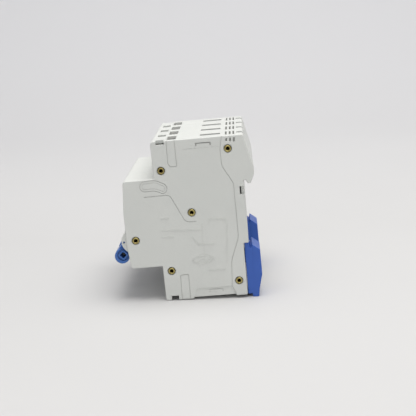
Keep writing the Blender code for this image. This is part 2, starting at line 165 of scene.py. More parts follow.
def moved_in(outline, distance):
    """The anticlockwise outline with every side moved inwards by a distance."""
    result = []
    count = len(outline)
    for i in range(count):
        here = Vector(outline[i])
        one = (here - Vector(outline[i - 1])).normalized()
        two = (Vector(outline[(i + 1) % count]) - here).normalized()
        n1, n2 = Vector((-one.y, one.x)), Vector((-two.y, two.x))
        result.append(tuple(here + (n1 + n2) * distance / (1 + n1.dot(n2))))
    return result


def ribbon(points, width):
    """Closed outline of a line of the given width along the points."""
    line = [Vector(p) for p in points]
    left, right = [], []
    for i, here in enumerate(line):
        one = (here - line[i - 1]).normalized() if i else (line[1] - here).normalized()
        two = (line[i + 1] - here).normalized() if i < len(line) - 1 else one
        n1, n2 = Vector((-one.y, one.x)), Vector((-two.y, two.x))
        offset = (n1 + n2) * (width / 2) / (1 + n1.dot(n2))
        left.append(tuple(here + offset))
        right.append(tuple(here - offset))
    return right + left[::-1]


def add_rings(bm, rings, closed=False):
    """Skin a list of equal vertex rings, with end caps unless it closes on itself."""
    made = [[bm.verts.new(Vector(p) * MM) for p in ring] for ring in rings]
    pairs = list(zip(made, made[1:]))
    if closed:
        pairs.append((made[-1], made[0]))
    for lower, upper in pairs:
        for i in range(len(lower)):
            k = (i + 1) % len(lower)
            bm.faces.new((lower[i], lower[k], upper[k], upper[i]))
    if not closed:
        bm.faces.new(made[0][::-1])
        bm.faces.new(made[-1])


def add_prism(bm, outline, x0, x1):
    """Extrude a (y, z) outline from x0 to x1."""
    add_rings(bm, [[(x, y, z) for y, z in outline] for x in (x0, x1)])


def add_slab(bm, outline, x0, x1, round0, round1, steps=3):
    """Extrude a (y, z) outline from x0 to x1, with a rounded rim of its own at each end."""
    sections = []
    for i in range(steps + 1):
        angle = math.pi / 2 * i / steps
        sections.append((x0 + round0 * (1 - math.sin(angle)), round0 * (1 - math.cos(angle))))
    sections = sections[::-1]
    for i in range(steps + 1):
        angle = math.pi / 2 * i / steps
        sections.append((x1 - round1 * (1 - math.sin(angle)), round1 * (1 - math.cos(angle))))
    add_rings(bm, [[(x, y, z) for y, z in moved_in(outline, inset)] for x, inset in sections])


def add_box(bm, x, y, z):
    """A box from three (low, high) pairs."""
    add_prism(bm, [(y[0], z[0]), (y[1], z[0]), (y[1], z[1]), (y[0], z[1])], x[0], x[1])


def grown(pair, by=0.4):
    """A (low, high) pair made wider by the same length at each end."""
    return pair[0] - by, pair[1] + by


def add_funnel(bm, x, y, z_inside, z_outside, grow):
    """A box along z that widens by grow on every side just before its outer end."""
    lip = z_outside - math.copysign(grow, z_outside - z_inside)
    far = z_outside + math.copysign(0.5, z_outside - z_inside)
    rings = []
    for z, extra in ((z_inside, 0), (lip, 0), (z_outside, grow), (far, grow)):
        rings.append([(x[0] - extra, y[0] - extra, z), (x[1] + extra, y[0] - extra, z),
                      (x[1] + extra, y[1] + extra, z), (x[0] - extra, y[1] + extra, z)])
    add_rings(bm, rings)


def add_turned(bm, profile, place, axis, segments, bored=False):
    """Turn a (distance, radius) profile about an axis ('X' or 'Y') through place."""
    rings = []
    for along, radius in profile:
        ring = []
        for i in range(segments):
            angle = 2 * math.pi * (i + 0.5) / segments
            u, v = radius * math.cos(angle), radius * math.sin(angle)
            if axis == "X":
                ring.append((along, place[1] + u, place[2] + v))
            else:
                ring.append((place[0] + u, along, place[2] + v))
        rings.append(ring)
    add_rings(bm, rings, closed=bored)


def add_groove_ring(bm, outline, width, x0, x1):
    """A closed band of the given width along an outline, extruded from x0 to x1."""
    outer, inner = moved_in(outline, -width / 2), moved_in(outline, width / 2)
    loops = [[(x, y, z) for y, z in line] for x, line in ((x0, outer), (x1, outer), (x1, inner), (x0, inner))]
    add_rings(bm, loops, closed=True)


def mesh_from(name, fill):
    """A mesh object from a function that fills a bmesh."""
    bm = bmesh.new()
    fill(bm)
    bmesh.ops.recalc_face_normals(bm, faces=bm.faces)
    mesh = bpy.data.meshes.new(name)
    bm.to_mesh(mesh)
    bm.free()
    obj = bpy.data.objects.new(name, mesh)
    bpy.context.scene.collection.objects.link(obj)
    return obj


def settle(obj):
    """Apply the object's modifiers to its mesh."""
    graph = bpy.context.evaluated_depsgraph_get()
    mesh = bpy.data.meshes.new_from_object(obj.evaluated_get(graph))
    old = obj.data
    obj.modifiers.clear()
    obj.data = mesh
    bpy.data.meshes.remove(old)
    mesh.name = obj.name


def carve(obj, fill, operation="DIFFERENCE"):
    """Cut or join an object with the closed shapes that fill() makes."""
    tool = mesh_from("tool", fill)
    modifier = obj.modifiers.new("carve", "BOOLEAN")
    modifier.operation = operation
    modifier.solver = "EXACT"
    modifier.object = tool
    settle(obj)
    mesh = tool.data
    bpy.data.objects.remove(tool)
    bpy.data.meshes.remove(mesh)


def soften(obj, width, segments=2, limit=35):
    """Round the object's sharp edges."""
    modifier = obj.modifiers.new("soften", "BEVEL")
    modifier.width = width * MM
    modifier.segments = segments
    modifier.limit_method = "ANGLE"
    modifier.angle_limit = math.radians(limit)
    modifier.use_clamp_overlap = True
    settle(obj)


def flatten(mesh):
    """Keep large and side-on faces flat where they meet rounded rims."""
    bm = bmesh.new()
    bm.from_mesh(mesh)
    for edge in bm.edges:
        if any(face.calc_area() > FLAT_AREA or abs(face.normal.x) > 0.9999 for face in edge.link_faces):
            edge.smooth = False
    bm.to_mesh(mesh)
    bm.free()


def finish_piece(obj, mat, body, slot, *nodes, smooth=32):
    """Give the piece its finish and its body, and hide the CAD nodes that it stands for."""
    obj.data.materials.clear()
    obj.data.materials.append(mat)
    obj.data.shade_smooth()
    obj.data.set_sharp_from_angle(angle=math.radians(smooth))
    flatten(obj.data)
    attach(obj, body)
    if nodes:
        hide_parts(*nodes)


# ---- Materials ---------------------------------------------------------------------------

class Surface:
    """A Principled material with procedural colour, roughness and bump."""

    def __init__(self, name, colour, roughness, metallic=0.0, specular=0.5):
        self.mat = bpy.data.materials.new(name)
        self.mat.use_nodes = True
        self.nodes = self.mat.node_tree.nodes
        self.links = self.mat.node_tree.links
        self.shader = self.nodes["Principled BSDF"]
        self.shader.inputs["Metallic"].default_value = metallic
        self.shader.inputs["Specular IOR Level"].default_value = specular
        self.colour = colour
        self.coords = self.nodes.new("ShaderNodeTexCoord").outputs["Object"]
        self.base = self.rgb(colour)
        self.shader.inputs["Roughness"].default_value = roughness
        self.roughness = roughness
        self.height = None

    def rgb(self, colour):
        node = self.nodes.new("ShaderNodeRGB")
        node.outputs[0].default_value = (*colour, 1.0)
        return node.outputs[0]

    def noise(self, scale, detail=3.0, stretch=(1, 1, 1)):
        mapping = self.nodes.new("ShaderNodeMapping")
        mapping.inputs["Scale"].default_value = stretch
        self.links.new(self.coords, mapping.inputs["Vector"])
        node = self.nodes.new("ShaderNodeTexNoise")
        node.inputs["Scale"].default_value = scale
        node.inputs["Detail"].default_value = detail
        self.links.new(mapping.outputs["Vector"], node.inputs["Vector"])
        return node.outputs["Fac"]

    def ramp(self, value, low, high, out_low=0.0, out_high=1.0):
        node = self.nodes.new("ShaderNodeMapRange")
        for key, number in (("From Min", low), ("From Max", high), ("To Min", out_low), ("To Max", out_high)):
            node.inputs[key].default_value = number
        self.links.new(value, node.inputs["Value"])
        return node.outputs["Result"]

    def tint(self, colour, mask):
        """Mix a colour over the base where the mask is high."""
        node = self.nodes.new("ShaderNodeMix")
        node.data_type = "RGBA"
        self.links.new(mask, node.inputs["Factor"])
        self.links.new(self.base, node.inputs["A"])
        node.inputs["B"].default_value = (*colour, 1.0)
        self.base = node.outputs["Result"]

    def vary_roughness(self, mask, spread):
        self.links.new(self.ramp(mask, 0.3, 0.7, self.roughness - spread, self.roughness + spread),
                       self.shader.inputs["Roughness"])

    def bump(self, value, distance, strength=1.0):
        node = self.nodes.new("ShaderNodeBump")
        node.inputs["Distance"].default_value = distance
        node.inputs["Strength"].default_value = strength
        self.links.new(value, node.inputs["Height"])
        if self.height is not None:
            self.links.new(self.height, node.inputs["Normal"])
        self.height = node.outputs["Normal"]

    def closeness(self, distance, inside):
        """1 in the open and 0 close to a corner: outside for hollows, inside for edges."""
        node = self.nodes.new("ShaderNodeAmbientOcclusion")
        node.inside = inside
        node.samples = 8
        node.inputs["Distance"].default_value = distance
        return node.outputs["AO"]

    def worn_edges(self, colour, amount):
        """Change the colour along convex edges."""
        self.tint(colour, self.ramp(self.closeness(0.0006, True), 0.25, 0.6, 0.0, amount))

    def paint_shade_in_hollows(self, colour, amount):
        """Painted shade: a darker colour in grooves and inner corners, where the surface is occluded."""
        self.tint(colour, self.ramp(self.closeness(0.0012, False), 0.75, 0.35, 0.0, amount))

    def done(self):
        self.links.new(self.base, self.shader.inputs["Base Color"])
        if self.height is not None:
            self.links.new(self.height, self.shader.inputs["Normal"])
        return self.mat


def housing_plastic():
    """Light grey moulded plastic with a fine spark-eroded texture."""
    s = Surface("housing_plastic", (0.640, 0.652, 0.622), 0.46)
    cloud = s.noise(45.0, 4.0)
    s.tint((0.600, 0.615, 0.590), s.ramp(cloud, 0.42, 0.75, 0.0, 0.55))
    speck = s.noise(2600.0, 2.0)
    s.tint((0.70, 0.71, 0.69), s.ramp(speck, 0.60, 0.85, 0.0, 0.35))
    s.vary_roughness(s.noise(160.0, 3.0), 0.06)
    # Painted shade: grooves and inner corners are darkened to a deeper grey, standing in for occlusion.
    s.paint_shade_in_hollows((0.42, 0.42, 0.40), 0.5)
    s.bump(s.noise(3200.0, 2.0), 0.00003, 0.5)
    s.bump(s.noise(28.0, 2.0), 0.0003, 0.12)
    return s.done()


def blue_plastic(name, colour, roughness, specular):
    """Blue moulded plastic with faint flow marks and paler rubbed edges."""
    s = Surface(name, colour, roughness, specular=specular)
    flow = s.noise(60.0, 4.0, (1, 1, 3))
    s.tint(tuple(c * 0.8 for c in colour), s.ramp(flow, 0.4, 0.75, 0.0, 0.6))
    s.worn_edges(tuple(min(1.0, c * 1.5 + 0.05) for c in colour), 0.45)
    s.vary_roughness(s.noise(220.0, 3.0), 0.07)
    s.bump(s.noise(2400.0, 2.0), 0.00003, 0.45)
    return s.done()


def metal(name, colour, dark, roughness, stretch=(1, 1, 1), scale=900.0):
    """Metal with a brushed or rolled grain and darker tarnish in patches."""
    s = Surface(name, colour, roughness, metallic=1.0)
    s.tint(dark, s.ramp(s.noise(180.0, 5.0), 0.45, 0.75, 0.0, 0.75))
    grain = s.noise(scale, 3.0, stretch)
    s.vary_roughness(grain, 0.1)
    # Painted shade: hollows get a darker copy of the metal's colour, standing in for occlusion.
    s.paint_shade_in_hollows(tuple(c * 0.4 for c in colour), 0.8)
    s.bump(grain, 0.00004, 0.35)
    return s.done()


def black_plastic():
    s = Surface("black_plastic", (0.022, 0.023, 0.026), 0.45)
    s.tint((0.05, 0.05, 0.055), s.ramp(s.noise(300.0, 3.0), 0.5, 0.8, 0.0, 0.6))
    s.worn_edges((0.12, 0.12, 0.125), 0.4)
    s.bump(s.noise(2600.0, 2.0), 0.00003, 0.5)
    return s.done()


def fibre():
    """Pressed grey board."""
    s = Surface("grey_fibre", (0.30, 0.29, 0.27), 0.8)
    s.tint((0.16, 0.15, 0.14), s.ramp(s.noise(700.0, 4.0, (1, 1, 5)), 0.45, 0.7, 0.0, 0.8))
    s.bump(s.noise(1500.0, 4.0, (1, 1, 4)), 0.00006, 0.6)
    return s.done()


def enamel():
    """Enamelled copper wire, wound in fine turns."""
    s = Surface("winding_enamel", (0.36, 0.12, 0.03), 0.3)
    wave = s.nodes.new("ShaderNodeTexWave")
    wave.bands_direction = "X"
    wave.inputs["Scale"].default_value = 900.0
    wave.inputs["Distortion"].default_value = 0.6
    s.links.new(s.coords, wave.inputs["Vector"])
    s.tint((0.13, 0.035, 0.01), s.ramp(wave.outputs["Fac"], 0.2, 0.7, 1.0, 0.0))
    s.bump(wave.outputs["Fac"], 0.0001, 0.8)
    return s.done()


HOUSING = housing_plastic()
BLUE = blue_plastic("blue_plastic", (0.019, 0.078, 0.345), 0.38, 0.28)
KNOB_BLUE = blue_plastic("toggle_blue", (0.018, 0.098, 0.340), 0.30, 0.5)
BRASS = metal("brass", (0.44, 0.37, 0.15), (0.26, 0.20, 0.08), 0.36)
STEEL = metal("zinc_steel", (0.55, 0.55, 0.54), (0.40, 0.40, 0.40), 0.38, (1, 1, 6), 700.0)
COPPER = metal("copper", (0.80, 0.42, 0.27), (0.50, 0.22, 0.12), 0.36, (6, 1, 1), 700.0)
BLACK = black_plastic()
FIBRE = fibre()
ENAMEL = enamel()


# ---- Housing -----------------------------------------------------------------------------

# Every outward radius is wider than the rim of a side face, so that the rim's inset stays clean.
CASE = rounded([
    (-60.0, -NOSE_HALF, 1.3), (SHELF, -NOSE_HALF, 0.4), (SHELF, BOTTOM, 1.3), (-29.8, BOTTOM, 0),
    (-29.8, BOTTOM + 0.8, 0), (-8.4, BOTTOM + 0.8, 0), (-8.4, BOTTOM, 0), (CLIP_BACK, BOTTOM, 0.7),
    (CLIP_BACK, CLIP_TOP + 0.3, 0.3), (0.0, CLIP_TOP + 0.3, 0.6), (0.0, 18.2, 0.3), (1.0, 18.2, 0.3),
    (2.0, 16.4, 0.6), (3.5, 16.6, 0.7), (5.5, 21.2, 2.5), (5.5, 24.5, 6.0), (1.4, TOP, 1.2),
    (SHELF, TOP, 1.6), (SHELF, NOSE_HALF, 0.4), (-59.9, NOSE_HALF, 1.4),
    (NOSE, 6.0, 20.0), (NOSE, -12.0, 20.0),
])

CAVITY = [
    (-58.4, -NOSE_HALF + WALL), (SHELF + WALL, -NOSE_HALF + WALL), (SHELF + WALL, BOTTOM + WALL),
    (CLIP_BACK - WALL, BOTTOM + WALL), (CLIP_BACK - WALL, CLIP_TOP + WALL + 0.3),
    (-WALL, CLIP_TOP + WALL + 0.3), (-WALL, 20.4), (3.6, 21.4), (3.6, 24.5), (-0.4, TOP - WALL),
    (SHELF + WALL, TOP - WALL), (SHELF + WALL, NOSE_HALF - WALL), (-58.4, NOSE_HALF - WALL),
    (NOSE + WALL, 6.0), (NOSE + WALL, -12.0),
]

# Slot that runs over the top's rear edge.
REAR_SLOT = [(-1.8, TOP - 1.6), (3.0, TOP - 4.6), (4.0, TOP + 1), (-1.8, TOP + 1)]

# Shallow recess for a label in the front of the nose.
LABEL = [(NOSE - 1, 4.6), (NOSE + 0.25, 4.6), (NOSE + 0.25, 6.0), (NOSE + 1.29, 19.2), (NOSE - 1, 19.2)]

# Wall above, behind and below the toggle's drum, which hides the contacts.
DRUM_WALL = [(-60.2, 3.2), (-49.2, 3.2), (-49.2, -18.4), (-60.2, -18.4), (-60.2, -19.4), (-48.2, -19.4),
             (-48.2, 4.2), (-60.2, 4.2)]

# Lines moulded into the two outer side faces.
REAR_LINE = [(-8.9, TOP + 0.5, 0), (-10.3, 35.2, 8.0), (-10.1, 26.4, 5.0), (-5.1, 17.3, 4.0),
             (-4.9, -10.5, 9.0), (-9.3, -22.0, 9.0), (-10.1, -35.4, 1.0), (-7.7, BOTTOM - 0.5, 0)]
FRONT_LINE = [(-50.1, 13.8, 0), (-37.2, 14.0, 2.6), (-30.4, -0.6, 3.2), (-25.2, -0.4, 0)]
TOP_TONGUE = [(-36.2, TOP + 0.5, 0), (-36.5, 29.8, 0.6), (-35.4, 28.0, 0.6), (-32.2, 28.0, 0.2),
              (-32.3, TOP + 0.5, 0)]
BOTTOM_TONGUE = [(-36.0, BOTTOM - 0.5, 0), (-35.7, -27.8, 0.3), (-31.6, -27.6, 0.3), (-31.8, BOTTOM - 0.5, 0)]
POCKET = [(-51.7, 16.5, 2.3), (-51.3, 21.6, 2.6), (-43.4, 21.9, 6.0), (-37.1, 18.6, 2.6), (-39.5, 14.4, 2.0),
          (-44.2, 16.7, 6.0)]
DIAGRAM = [
    [(-43.2, -3.9), (-23.8, -4.9)], [(-43.3, -7.2), (-37.2, -7.6)], [(-42.5, 2.3), (-38.8, 2.1)],
    [(-22.5, -2.2), (-22.9, -6.6), (-23.0, -11.8)], [(-28.1, -8.4), (-24.6, -13.2)],
    [(-19.2, -2.4), (-19.1, 0.0), (-10.9, -0.4), (-10.1, -2.5), (-11.1, -14.3), (-11.8, -23.2)],
    [(-29.2, -20.3), (-26.5, -18.9), (-21.4, -18.3), (-17.6, -20.1), (-21.1, -22.4), (-25.5, -22.8),
     (-28.9, -20.8)],
    [(-26.6, -21.6), (-22.4, -19.4)], [(-23.4, -21.8), (-19.6, -19.8)],
    [(-24.8, -12.4), (-17.4, -12.8)], [(-21.1, -26.2), (-12.7, -26.3)], [(-22.6, -13.4), (-22.6, -18.0)],
]


def half_shell(number, side):
    """One half of a module's housing. side is -1 or +1, towards the outer face of the half."""
    name = f"shell_{number}_{'right' if side > 0 else 'left'}"
    centre = PITCH * ((POLES + 1) / 2 - number)
    edge = centre + side * PITCH / 2
    at_end = abs(edge) > HALF_WIDTH - 1
    outer = edge if at_end else edge - side * JOINT
    middle = centre + side * SEAM
    inner = edge - side * 1.5
    anchor = inner + side * 0.6
    rims = {outer: 0.5 if at_end else 0.22, middle: 0.04}

    def span(near, far):
        """Distances from the middle plane towards the outer face, as a (low, high) pair."""
        ends = (centre + side * near, centre + side * far)
        return min(ends), max(ends)

    low, high = sorted((outer, middle))
    shell = mesh_from(name + "_moulding", lambda bm: add_slab(bm, CASE, low, high, rims[low], rims[high]))
    carve(shell, lambda bm: add_prism(bm, CAVITY, *sorted((inner, middle - side))))

    def bosses(bm):
        for place in RIVETS:
            if place != RIVETS[PIVOT_RIVET]:
                add_prism(bm, circle(place, 2.6, 20), *sorted((anchor, middle)))
    carve(shell, bosses, "UNION")
    carve(shell, lambda bm: add_prism(bm, DRUM_WALL, *sorted((anchor, middle))), "UNION")
    carve(shell, lambda bm: add_slab(bm, circle(CHEEK, CHEEK_R, 64), *span(5.2, 6.8), 0.3, 0.3, 2), "UNION")

    def slots(bm):
        for sign, face in ((1, TOP), (-1, BOTTOM)):
            add_funnel(bm, span(-1, WINDOW_HALF - 0.4), (WINDOW[0] + 0.2, WINDOW[1] - 0.2),
                       face - sign * 2.6, face, WINDOW_LIP)
        for y in VENTS:
            add_box(bm, span(-1, VENT_HALF), (y - 0.45, y + 0.45), (TOP - SLOT_DEPTH, TOP + 1))
        add_box(bm, span(-1, LONG_SLOT_HALF), LONG_SLOT, (TOP - SLOT_DEPTH, TOP + 1))
        add_prism(bm, REAR_SLOT, *span(-1, REAR_SLOT_HALF))
        add_box(bm, span(-1, TOGGLE_SLOT_HALF), (NOSE - 1, NOSE + SLOT_DEPTH), TOGGLE_SLOT)
    carve(shell, slots)

    def holes(bm):
        for place in RIVETS:
            add_prism(bm, circle(place, RIVET_HOLE_R, 20), *sorted((outer + side, middle - side)))
        for z in (SCREW_Z, -SCREW_Z):
            chamfered = [(SHELF - 1, SCREW_HOLE_R + 0.4), (SHELF, SCREW_HOLE_R + 0.4),
                         (SHELF + 0.4, SCREW_HOLE_R), (SHELF + SLOT_DEPTH, SCREW_HOLE_R)]
            add_turned(bm, chamfered, (centre, 0, z), "Y", 40)
        add_box(bm, span(5.8, 10.5), TOP_NOTCH, (TOP - 2.0, TOP + 1))
        add_box(bm, span(2.6, 10.5), BOTTOM_NOTCH, (BOTTOM - 1, BOTTOM + SLOT_DEPTH))
        add_prism(bm, circle(SEAL_HOLE, SEAL_HOLE_R, 16), *span(4.8, 7.2))
        if not at_end:
            wall = sorted((outer + side, inner - side))
            for joint, radius in (("contacts_turn", 3.2), ("trip_turn", 2.0)):
                add_prism(bm, circle(joint_place(joint), radius, 20), *wall)
            add_box(bm, wall, grown(span_mm("transformer_core", 1)), grown(span_mm("transformer_core", 2)))
        if number in CLIPPED:
            add_box(bm, span(-1, 2.0), (CLIP_BACK - SLOT_DEPTH, CLIP_BACK + 1), CLIP_KEYWAY)
        if number == TEST_MODULE:
            add_box(bm, span(-1, 3.5), (NOSE - 1, NOSE + 2.8), BUTTON_HOLE)
    carve(shell, holes)

    if number != TEST_MODULE:
        carve(shell, lambda bm: add_prism(bm, LABEL, *span(-1, 6.9)))
    # A key on the second module, and its seat in the third.
    if number == 2 and side < 0:
        carve(shell, lambda bm: add_box(bm, (-1.5, 1.2), (-1.4, 0.0), (-2.5, 2.5)), "UNION")
    if number == 3 and side > 0:
        carve(shell, lambda bm: add_box(bm, (-1.55, 1.0), (-1.45, 1.0), (-2.55, 2.55)))
    if at_end:
        side_face(shell, side, outer)
    finish_piece(shell, HOUSING, "housing", "housing", name, smooth=28)


def side_face(shell, side, face):
    """The moulded detail of an outer side face."""
    def depth(inwards, outwards=1.0):
        return sorted((face - side * inwards, face + side * outwards))

    for line in (REAR_LINE, FRONT_LINE, TOP_TONGUE, BOTTOM_TONGUE):
        carve(shell, lambda bm: add_prism(bm, ribbon(rounded(line, closed=False), 0.34), *depth(0.3)))
    pocket = rounded(POCKET)[::-1]
    carve(shell, lambda bm: add_groove_ring(bm, pocket, 0.34, *depth(0.28)))
    carve(shell, lambda bm: add_groove_ring(bm, moved_in(pocket, 1.1), 0.22, *depth(0.16)))

    def recesses(bm):
        add_box(bm, depth(2.0), (-2.3, 1.0), (11.3, 15.4))
        for y, low_z, high_z in ((-6.9, 38.9, 39.5), (-5.0, 38.6, 39.6), (-3.2, 38.3, 39.6)):
            add_prism(bm, capsule((y, low_z), (y + 0.15, high_z), 0.45), *depth(1.1))
        for y0, y1, low_z, high_z in ((-22.2, -14.6, 37.2, 38.8), (-21.8, -14.7, -37.7, -36.2)):
            arch = [(y0, low_z), (y0 + 0.6, low_z), (y0 + 0.6, high_z - 0.5), (y1 - 0.6, high_z - 0.5),
                    (y1 - 0.6, low_z), (y1, low_z), (y1, high_z), (y0, high_z)]
            add_prism(bm, arch, *depth(0.9 if low_z > 0 else 0.6))
    carve(shell, recesses)
    band = [(-29.4, BOTTOM - 0.5), (-28.4, -36.1), (-26.8, -35.5), (-10.7, -35.4), (-10.1, -37.4),
            (-7.9, BOTTOM - 0.5)]
    carve(shell, lambda bm: add_prism(bm, band, *depth(0.32)))
    ledge = [(-28.7, 36.2), (-10.8, 36.2)]
    carve(shell, lambda bm: add_prism(bm, ribbon(ledge, 0.3), *depth(0.1)))

    def seats(bm):
        for place in RIVETS:
            add_turned(bm, [(face + side, 2.4), (face - side * 0.15, 2.4), (face - side * 0.2, 2.1),
                            (face - side * 1.1, 2.1)], (0, *place), "X", 40)
    carve(shell, seats)

    raised = sorted((face - side * 0.2, face + side * 0.18))
    for line in DIAGRAM:
        carve(shell, lambda bm: add_prism(bm, ribbon(line, 0.4), *raised), "UNION")


# ---- Rivets, clips, toggles --------------------------------------------------------------

def rivet(number, place):
    """Tubular rivet with rolled heads."""
    end, shank, head, bore = HALF_WIDTH, 1.25, 1.8, 0.85
    half = [(end - 1.4, bore), (end - 0.35, bore + 0.05)]
    half += [(end - 0.3 + 0.28 * math.sin(a), bore + 0.5 - 0.45 * math.cos(a))
             for a in [math.pi / 2 * i / 4 for i in range(1, 5)]]
    half += [(end - 0.42 + 0.36 * math.cos(a), head - 0.4 + 0.4 * math.sin(a))
             for a in [math.pi / 2 * i / 4 for i in range(5)]]
    half += [(end - 0.8, head), (end - 0.8, shank)]
    profile = half + [(-x, r) for x, r in half[::-1]]
    obj = mesh_from(f"rivet_{number}_tube", lambda bm: add_turned(
        bm, profile, (0, *place), "X", 36, bored=True))
    finish_piece(obj, BRASS, "housing", "brass", f"rivet_{number}", smooth=50)


CLIP = rounded([
    (CLIP_BACK + 0.3, BOTTOM, 0.4), (-0.2, BOTTOM, 0.3), (0.1, -42.6, 0.3), (3.1, -42.6, 0.5),
    (3.6, -38.6, 1.0), (5.5, -31.0, 2.0), (5.4, -18.1, 0.4), (1.4, -14.9, 0.25), (0.9, -17.4, 0.3),
    (0.0, -16.2, 0.3), (-0.2, CLIP_TOP, 0.3), (CLIP_BACK + 0.3, CLIP_TOP, 0.3),
], steps=5)


def rail_clip(word):
    """Sliding clip with its key, a screwdriver slot in the tab and grip ribs on the back."""
    node = "rail_clip_" + word
    low, high = span_mm(node, 0)
    centre = (low + high) / 2
    clip = mesh_from(node + "_moulding", lambda bm: add_slab(bm, CLIP, low, high, 0.3, 0.3))
    carve(clip, lambda bm: add_box(bm, (centre - 1.6, centre + 1.6), (-5.1, -2.0), (-26.0, -19.0)), "UNION")
    carve(clip, lambda bm: add_box(bm, (centre - 3.4, centre + 3.4), (-5.7, -4.6), (-26.0, -19.0)), "UNION")

    def details(bm):
        add_box(bm, (centre - 2.8, centre + 2.8), (1.0, 2.4), (-44.0, -40.4))
        for i in range(5):
            z = -30.4 + 1.9 * i
            add_prism(bm, [(5.1, z - 0.35), (6.5, z - 0.6), (6.5, z + 0.6), (5.1, z + 0.35)],
                      centre - 5.4, centre + 5.4)
    carve(clip, details)
    finish_piece(clip, BLUE, node, "blue", node, smooth=35)


def toggle(number):
    """Drum, arm and knob, with the raised square socket for the link bar in each end of the knob."""
    node = f"toggle_{number}"
    centre = sum(span_mm(node, 0)) / 2
    obj = mesh_from(node + "_moulding", lambda bm: add_slab(
        bm, circle(PIVOT, DRUM_R, 72), centre - 4.6, centre + 4.6, 0.3, 0.3))
    arm = rounded([(-57.5, -6.0, 0), (-59.0, -12.5, 0), (-62.0, -14.0, 0), (-65.1, -17.0, 0),
                   (-66.9, -13.9, 0.6), (-63.0, -8.6, 1.0)])[::-1]
    carve(obj, lambda bm: add_slab(bm, arm, centre - 2.8, centre + 2.8, 0.35, 0.35), "UNION")
    knob = [(centre + sign * x, r) for sign, x, r in
            ((-1, 4.8, KNOB_R - 0.5), (-1, 4.7, KNOB_R - 0.2), (-1, 4.4, KNOB_R),
             (1, 4.4, KNOB_R), (1, 4.7, KNOB_R - 0.2), (1, 4.8, KNOB_R - 0.5))]
    carve(obj, lambda bm: add_turned(bm, knob, (0, *KNOB), "X", 48), "UNION")

    def sockets(bm):
        angles = [2 * math.pi * i / 48 for i in range(48)]
        round_wall = [(BAR[0] + 3.0 * math.cos(a), BAR[1] + 3.0 * math.sin(a)) for a in angles]
        reach = [2.75 / (abs(math.cos(a)) + abs(math.sin(a))) for a in angles]
        square = [(BAR[0] + r * math.cos(a), BAR[1] + r * math.sin(a)) for a, r in zip(angles, reach)]
        for sign in (-1, 1):
            floor, mouth = centre + sign * 3.6, centre + sign * 5.5
            sections = ((floor, round_wall), (mouth, round_wall), (mouth, square), (floor, square))
            add_rings(bm, [[(x, y, z) for y, z in line] for x, line in sections], closed=True)
    carve(obj, sockets)

    def bores(bm):
        add_prism(bm, circle(PIVOT, 1.5, 24), centre - 6, centre + 6)
        hole = [(BAR[0] + 1.8 * math.cos(a), BAR[1] + 1.8 * math.sin(a))
                for a in (math.pi / 2 * i for i in range(4))]
        add_prism(bm, hole, centre - 6, centre + 6)
    carve(obj, bores)
    finish_piece(obj, KNOB_BLUE, "handle", "blue", node, smooth=35)


def link_bar():
    low, high = span_mm("link_bar", 0)
    reach = (span_mm("link_bar", 1)[1] - span_mm("link_bar", 1)[0]) / 2 * math.sqrt(2)
    square = [(BAR[0] + reach * math.cos(a), BAR[1] + reach * math.sin(a))
              for a in (math.pi / 2 * i for i in range(4))]
    bar = mesh_from("link_bar_rod", lambda bm: add_slab(
        bm, rounded([(y, z, 0.2) for y, z in square], steps=3), low, high, 0.2, 0.2))
    finish_piece(bar, BLACK, "handle", "black", "link_bar", smooth=30)


# ---- Terminals ---------------------------------------------------------------------------

def terminal(word, number, sign):
    """Cage clamp with a serrated jaw, and its combination-slot screw."""
    node = f"{word}_terminal_{number}"
    (x0, x1), (y0, y1), (z0, z1) = (span_mm(node + "_cage", axis) for axis in range(3))
    centre = (x0 + x1) / 2
    z_screw = sign * SCREW_Z
    cage = mesh_from(node + "_jaw", lambda bm: add_box(bm, (x0, x1), (y0, y1), (z0, z1)))
    carve(cage, lambda bm: add_box(bm, (x0 + 1, x1 - 1), (y0 + 1.5, y1 - 1.2), (z0 - 1, z1 + 1)))
    carve(cage, lambda bm: add_turned(bm, [(y0 - 1, 2.2), (y0 + 2, 2.2)], (centre, 0, z_screw), "Y", 24))

    def teeth(bm):
        for i in range(5):
            z = z0 + 1.2 + 1.5 * i
            add_prism(bm, [(y1 - 1.6, z - 0.3), (y1 - 0.95, z), (y1 - 1.6, z + 0.3)], x0 + 1.2, x1 - 1.2)
    carve(cage, teeth)
    soften(cage, 0.12, 2)
    finish_piece(cage, STEEL, node + "_cage", "zinc_steel", node + "_cage")

    front = span_mm(node + "_screw", 1)[0]
    tip = span_mm(node + "_screw", 1)[1]
    head = [(front + 0.9, 0.01), (front + 0.9, 0.6), (front, 1.0), (front, 2.6), (front + 0.15, 2.95),
            (front + 0.4, 3.1), (front + 1.4, 3.1), (front + 1.5, 1.9)]
    threads = []
    pitch = 0.8
    for i in range(int((tip - front - 2.4) / pitch)):
        y = front + 1.7 + pitch * i
        threads += [(y, 1.6), (y + pitch / 2, 1.9)]
    threads += [(tip - 0.4, 1.6), (tip, 1.2), (tip, 0.01)]
    screw = mesh_from(node + "_bolt", lambda bm: add_turned(
        bm, [(y, r) for y, r in head + threads], (centre, 0, z_screw), "Y", 32))

    for wide, tall, deep in ((3.3, 0.45, 0.9), (0.45, 1.9, 1.0)):
        carve(screw, lambda bm: add_box(bm, (centre - wide, centre + wide), (front - 1, front + deep),
                                        (z_screw - tall, z_screw + tall)))
    finish_piece(screw, STEEL, node + "_screw", "zinc_steel", node + "_screw", smooth=40)

    mouth = (TOP - WALL) if sign > 0 else (BOTTOM + WALL)
    inside = z1 + 0.35 if sign > 0 else z0 - 0.35
    low, high = sorted((inside, mouth - sign * 0.05))
    across = (centre - WINDOW_HALF, centre + WINDOW_HALF)
    guide = mesh_from(node + "_guide", lambda bm: add_box(
        bm, grown(across, 0.5), grown(WINDOW, 0.5), (low, high)))
    carve(guide, lambda bm: add_box(bm, across, WINDOW, grown((low, high), 1)))
    finish_piece(guide, HOUSING, "housing", "housing")


